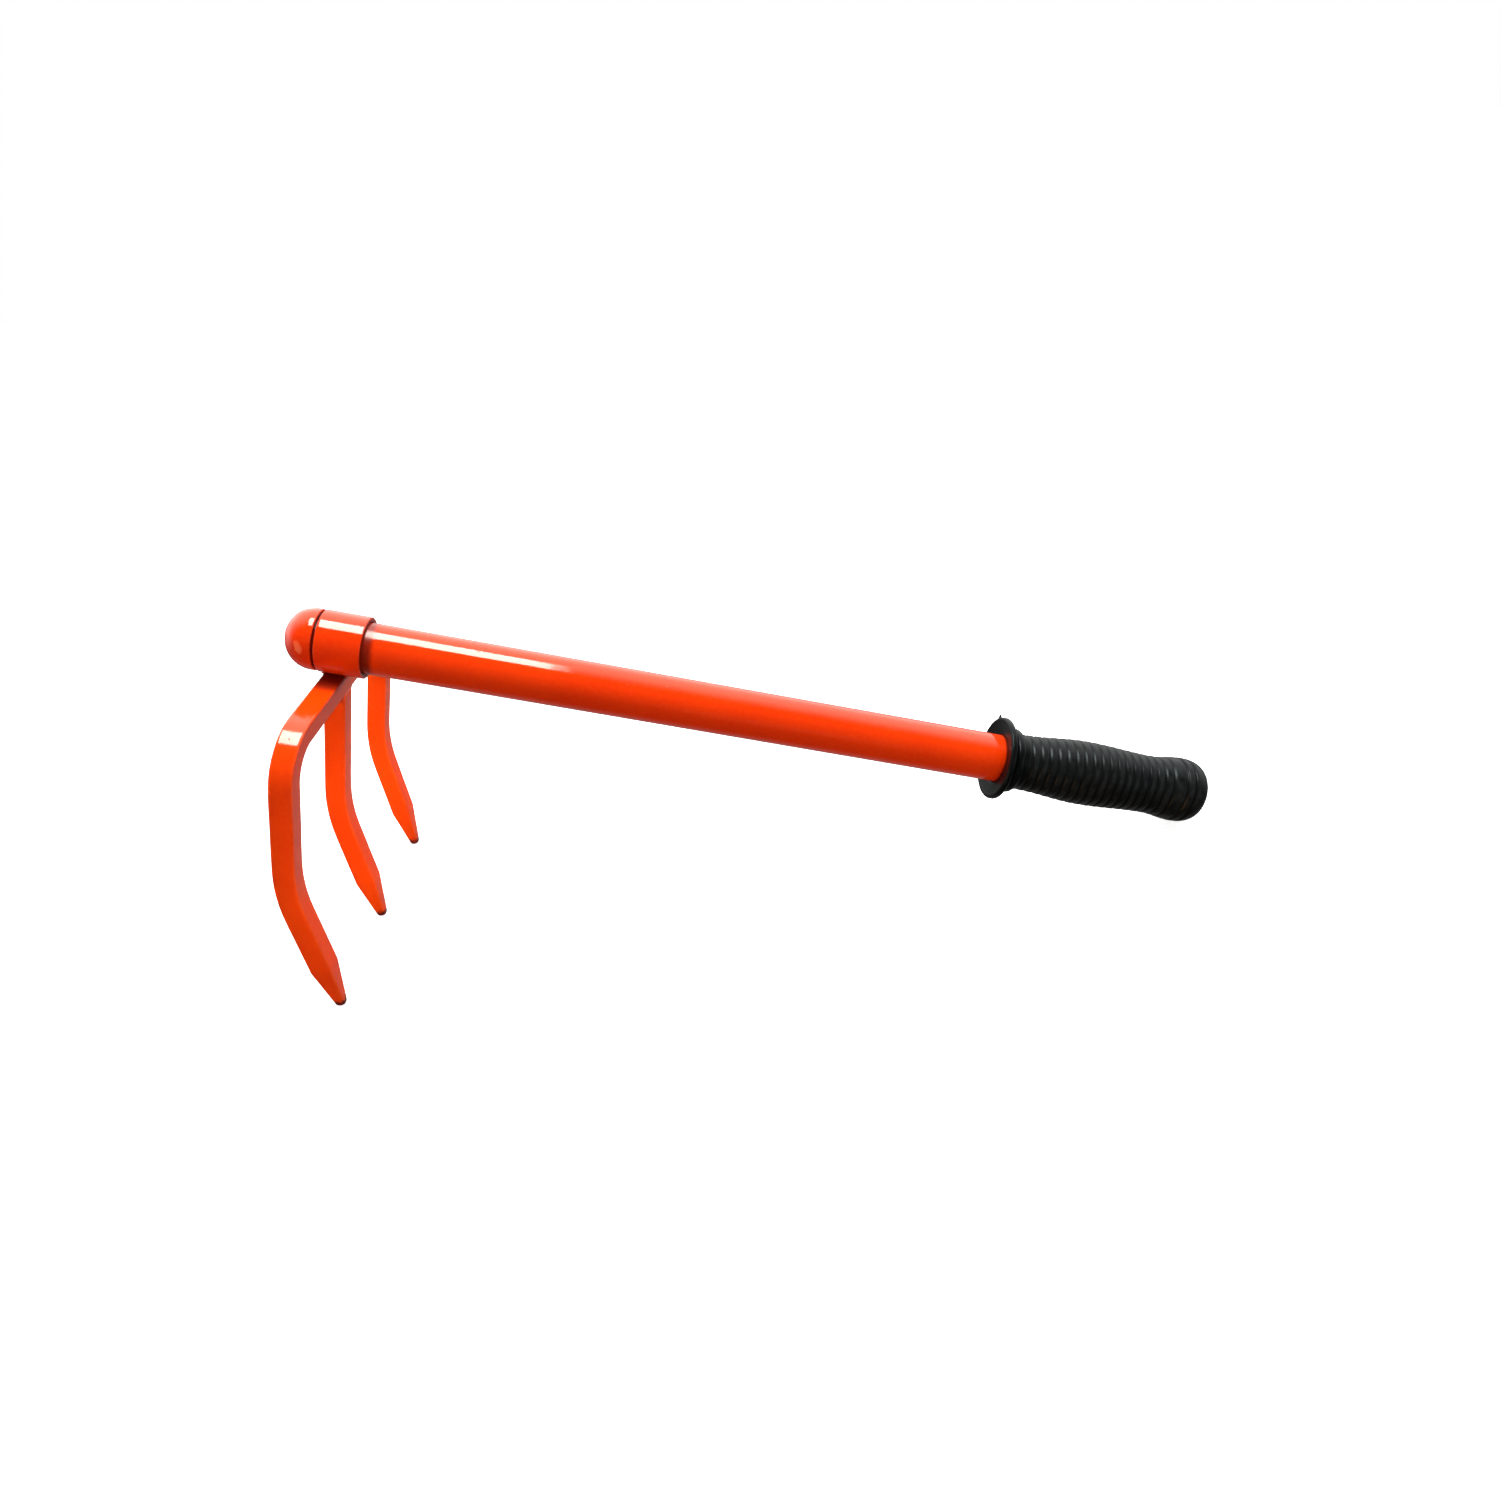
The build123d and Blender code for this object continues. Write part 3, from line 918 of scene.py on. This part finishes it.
def moulded_black(name):
    """Satin black PVC: faint flow marks, rib tops greyed by scuffs and by a painted highlight,
    dusty valleys, a fine grain.
    """
    nodes = Nodes(name)
    clouds = nodes.range(nodes.noise(CLOUDS, 4.0), 0.3, 0.7)
    colour = nodes.mix(clouds, BLACK, BLACK_COOL)
    # Rib tops turn lighter grey: partly scuffing, partly a painted highlight that sets the crests
    # off from the valleys.
    scuff_and_highlight = nodes.math(
        "MULTIPLY",
        nodes.attribute("ridge"),
        nodes.range(nodes.noise(SCUFFS, 4.0, 0.6), 0.36, 0.68, 0.1, 1.0),
    )
    colour = nodes.mix(scuff_and_highlight, colour, SCUFF_AND_CREST_HIGHLIGHT)
    dust = nodes.math(
        "MULTIPLY",
        nodes.attribute("valley"),
        nodes.range(nodes.noise(DUST_PATCHES, 3.0), 0.35, 0.75, 0.05, 0.5),
    )
    colour = nodes.mix(dust, colour, DUST)
    nodes.link(colour, nodes.shader.inputs["Base Color"])
    rough = nodes.range(nodes.noise(SHEEN_PATCHES, 4.0, 0.6), 0.3, 0.7, 0.26, 0.36)
    rough = nodes.math("ADD", rough, nodes.math("MULTIPLY", scuff_and_highlight, SCUFF_ROUGHNESS))
    nodes.link(rough, nodes.shader.inputs["Roughness"])
    normal = nodes.bump(nodes.noise(FLOW_MARKS, 2.0), FLOW_HEIGHT)
    normal = nodes.bump(nodes.noise(GRAIN, 2.0, 0.6), GRAIN_HEIGHT, normal)
    nodes.link(normal, nodes.shader.inputs["Normal"])
    nodes.shader.inputs["IOR"].default_value = 1.45
    nodes.shader.inputs["Specular IOR Level"].default_value = 0.14
    nodes.shader.inputs["Specular Tint"].default_value = (0.86, 1.0, 1.0, 1.0)
    return nodes.material


def floor_finish():
    """Pale matt board, faintly mottled."""
    nodes = Nodes("floor_board")
    tone = nodes.mix(nodes.noise(3.0, 3.0), FLOOR_PALE, FLOOR_WARM)
    nodes.link(tone, nodes.shader.inputs["Base Color"])
    nodes.shader.inputs["Roughness"].default_value = 0.9
    nodes.shader.inputs["Specular IOR Level"].default_value = 0.1
    nodes.shader.inputs["Emission Color"].default_value = (1, 1, 1, 1)
    nodes.shader.inputs["Emission Strength"].default_value = FLOOR_GLOW
    return nodes.material


def backdrop_finish():
    """Plain white that gives its own light."""
    nodes = Nodes("backdrop_white")
    nodes.shader.inputs["Base Color"].default_value = (0, 0, 0, 1)
    nodes.shader.inputs["Roughness"].default_value = 1.0
    nodes.shader.inputs["Specular IOR Level"].default_value = 0.0
    nodes.shader.inputs["Emission Color"].default_value = (1, 1, 1, 1)
    nodes.shader.inputs["Emission Strength"].default_value = 1.0
    return nodes.material


# ---------------------------------------------------------------------------------------------
# Stage, light and camera
# ---------------------------------------------------------------------------------------------
FRONT_LEVELS = ((-1.0, (0.03, 0.03, 0.03)), (0.3, (0.06, 0.06, 0.06)))
BACK_LEVELS = (
    (-1.0, (0.30, 0.30, 0.30)),
    (-0.25, (0.20, 0.20, 0.20)),
    (0.30, (2.2, 2.2, 2.2)),
)
WINDOWS = (
    ((-0.80, -0.60, -0.04), 10.0, 24.0, (3.2, 1.7, 0.8)),
    ((0.76, -0.64, 0.10), 12.0, 20.0, (1.2, 1.2, 1.2)),
)
SIDE_BLEND = 0.4
# Each light: name, place, target, width, depth, brightness, spread, shown in reflections.
LIGHTS = (
    ("key_softbox", (-0.02, 0.0, 1.05), (-0.02, 0.0, 0.0), 0.37, 0.50, 23.0, 180.0, True),
    ("low_fill", (0.10, -0.60, 0.03), (-0.08, 0.0, 0.08), 0.30, 0.20, 7.0, 180.0, False),
    ("tine_fill", (0.05, -0.50, 0.05), (-0.19, 0.04, 0.05), 0.06, 0.10, 1.9, 14.0, False),
)
CAMERA_LENS = 22.04315
CAMERA_PLACE = (0.0045146, -0.3643954, 0.2845402)
CAMERA_TURN = (59.04081, 7.09711, -2.40958)
FLOOR_DROP = 0.0002


def make_stage():
    """A floor under the tool and a white shell round everything, out of the lighting."""
    reach = 24.0
    rows = 12
    points = [
        (reach * (2 * i / rows - 1), reach * (2 * j / rows - 1), 0.0)
        for j in range(rows + 1)
        for i in range(rows + 1)
    ]
    faces = []
    for j in range(rows):
        for i in range(rows):
            first = j * (rows + 1) + i
            faces.append((first, first + 1, first + rows + 2, first + rows + 1))
    mesh = bpy.data.meshes.new("floor")
    mesh.from_pydata(points, [], faces)
    floor = bpy.data.objects.new("floor", mesh)
    floor.location = (0, 0, -FLOOR_DROP)
    shell_points, shell_faces = [], []
    rings, around = 12, 24
    for ring in range(rings + 1):
        tilt = math.pi * ring / rings
        for step in range(around):
            turn = 2 * math.pi * step / around
            shell_points.append(
                (
                    reach * math.sin(tilt) * math.cos(turn),
                    reach * math.sin(tilt) * math.sin(turn),
                    reach * math.cos(tilt),
                )
            )
    for ring in range(rings):
        for step in range(around):
            after = (step + 1) % around
            first, second = ring * around, (ring + 1) * around
            shell_faces.append((first + step, first + after, second + after, second + step))
    shell_mesh = bpy.data.meshes.new("backdrop")
    shell_mesh.from_pydata(shell_points, [], shell_faces)
    shell = bpy.data.objects.new("backdrop", shell_mesh)
    for piece, finish in ((floor, floor_finish()), (shell, backdrop_finish())):
        bpy.context.scene.collection.objects.link(piece)
        piece.data.materials.append(finish)
        piece.visible_diffuse = False
        piece.visible_glossy = False
        piece.visible_shadow = False


def make_world():
    """Studio surround: levels by height on the camera's side and behind, and two glows."""
    world = bpy.data.worlds.new("studio")
    world.use_nodes = True
    tree = world.node_tree
    direction = tree.nodes.new("ShaderNodeTexCoord").outputs["Generated"]
    split = tree.nodes.new("ShaderNodeSeparateXYZ")
    tree.links.new(direction, split.inputs[0])

    def smooth(source, low, high):
        node = tree.nodes.new("ShaderNodeMapRange")
        node.interpolation_type = "SMOOTHSTEP"
        node.inputs["From Min"].default_value = low
        node.inputs["From Max"].default_value = high
        tree.links.new(source, node.inputs["Value"])
        return node.outputs["Result"]

    def mix(share, first, second):
        node = tree.nodes.new("ShaderNodeMix")
        node.data_type = "RGBA"
        tree.links.new(share, node.inputs[0])
        for socket, value in ((node.inputs[6], first), (node.inputs[7], second)):
            if isinstance(value, tuple):
                socket.default_value = (*value, 1.0)
            else:
                tree.links.new(value, socket)
        return node.outputs[2]

    sides = []
    for levels in (FRONT_LEVELS, BACK_LEVELS):
        colour = levels[0][1]
        for (low, _), (high, after) in zip(levels, levels[1:]):
            colour = mix(smooth(split.outputs["Z"], low, high), colour, after)
        sides.append(colour)
    colour = mix(smooth(split.outputs["Y"], -SIDE_BLEND, SIDE_BLEND), sides[0], sides[1])
    for towards, inner, outer, level in WINDOWS:
        facing = tree.nodes.new("ShaderNodeVectorMath")
        facing.operation = "DOT_PRODUCT"
        tree.links.new(direction, facing.inputs[0])
        facing.inputs[1].default_value = Vector(towards).normalized()
        low, high = math.cos(math.radians(outer)), math.cos(math.radians(inner))
        colour = mix(smooth(facing.outputs["Value"], low, high), colour, level)
    tree.links.new(colour, tree.nodes["Background"].inputs["Color"])
    bpy.context.scene.world = world


def soft_light(name, place, target, width, depth, brightness, spread, mirrored):
    """A rectangular softbox of a given brightness, facing a target, gridded to a spread."""
    data = bpy.data.lights.new(name, "AREA")
    data.shape = "RECTANGLE"
    data.size = width
    data.size_y = depth
    data.energy = brightness * width * depth * math.pi
    light = bpy.data.objects.new(name, data)
    bpy.context.scene.collection.objects.link(light)
    light.location = place
    aim = Vector(target) - Vector(place)
    light.rotation_euler = aim.to_track_quat("-Z", "Y").to_euler()
    data.spread = math.radians(spread)
    light.visible_camera = False
    light.visible_glossy = mirrored


def make_camera():
    """The camera, where the photo was taken from."""
    data = bpy.data.cameras.new("camera")
    data.lens = CAMERA_LENS
    data.sensor_width = 36.0
    data.clip_end = 200.0
    data.clip_start = 0.01
    camera = bpy.data.objects.new("camera", data)
    camera.location = CAMERA_PLACE
    camera.rotation_euler = [math.radians(angle) for angle in CAMERA_TURN]
    bpy.context.scene.collection.objects.link(camera)
    bpy.context.scene.camera = camera


make_camera()
make_stage()
make_world()
for light in LIGHTS:
    soft_light(*light)
bpy.context.scene.view_settings.view_transform = "Standard"

enamel_tube = paint("enamel_tube", (ORANGE, ORANGE_DEEP))
enamel_head = paint("enamel_head", (ORANGE, ORANGE_DEEP))
enamel_tines = paint("enamel_tines", (TINE_ORANGE, TINE_DEEP), gloss=0.11, wave=0.00010)
black_pvc = moulded_black("black_pvc")

for piece, node, slot, finish in (
    (make_tube(), "handle_tube", "paint_tube", enamel_tube),
    (make_collar(), "head_collar", "paint_head", enamel_head),
    (make_cap(), "end_cap", "paint_head", enamel_head),
    (make_outer_tines(), "outer_tines", "paint_tines", enamel_tines),
    (make_middle_tine(), "middle_tine", "paint_tines", enamel_tines),
    (make_collar_weld(), "collar_weld", "paint_head", enamel_head),
    (make_tine_weld(), "tine_weld", "paint_head", enamel_head),
    (make_grip(), "grip", "grip_black", black_pvc),
):
    piece.data.materials.append(finish)
    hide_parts(node)
    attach(piece, "root")
